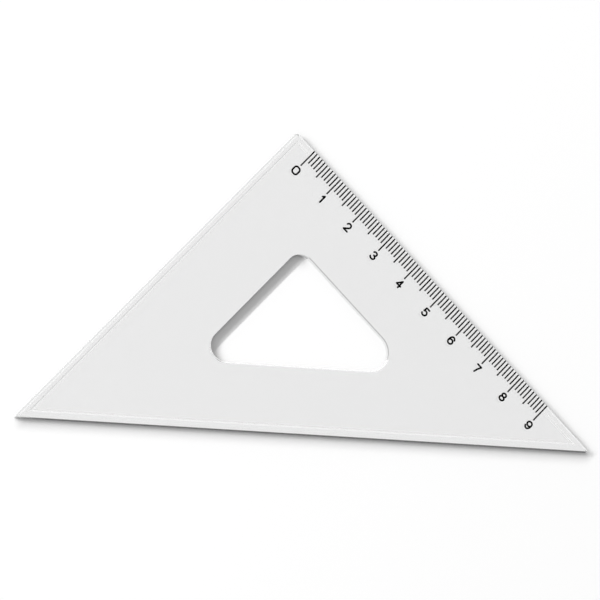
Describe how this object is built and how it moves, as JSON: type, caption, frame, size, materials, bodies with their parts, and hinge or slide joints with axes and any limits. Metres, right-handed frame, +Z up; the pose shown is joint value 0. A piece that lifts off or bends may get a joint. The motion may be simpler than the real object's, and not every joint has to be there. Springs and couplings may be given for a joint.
{
  "type": "drafting triangle",
  "caption": "Clear plastic 45 degree set square with bevelled sides, a three-cornered hand hole and a black centimetre scale along one leg.",
  "frame": {"origin": "centre of the footprint's bounding box, on the underside that lies on the paper", "axes": "+X along the hypotenuse towards the far end of the scale, +Y from the hypotenuse towards the right angle, +Z up out of the bevelled face with the scale"},
  "size_m": [0.1592, 0.0796, 0.0015],
  "materials": {
    "clear_plastic": "polished",
    "black_paint": "satin"
  },
  "bodies": {
    "root": {"plate": "clear_plastic", "centimetre_line_0": "black_paint", "centimetre_line_1": "black_paint", "centimetre_line_2": "black_paint", "centimetre_line_3": "black_paint", "centimetre_line_4": "black_paint", "centimetre_line_5": "black_paint", "centimetre_line_6": "black_paint", "centimetre_line_7": "black_paint", "centimetre_line_8": "black_paint", "centimetre_line_9": "black_paint", "half_centimetre_line_0": "black_paint", "half_centimetre_line_1": "black_paint", "half_centimetre_line_2": "black_paint", "half_centimetre_line_3": "black_paint", "half_centimetre_line_4": "black_paint", "half_centimetre_line_5": "black_paint", "half_centimetre_line_6": "black_paint", "half_centimetre_line_7": "black_paint", "half_centimetre_line_8": "black_paint", "numeral_0": "black_paint", "numeral_1": "black_paint", "numeral_2": "black_paint", "numeral_3": "black_paint", "numeral_4": "black_paint", "numeral_5": "black_paint", "numeral_6": "black_paint", "numeral_7": "black_paint", "numeral_8": "black_paint", "numeral_9": "black_paint"}
  },
  "joints": []
}
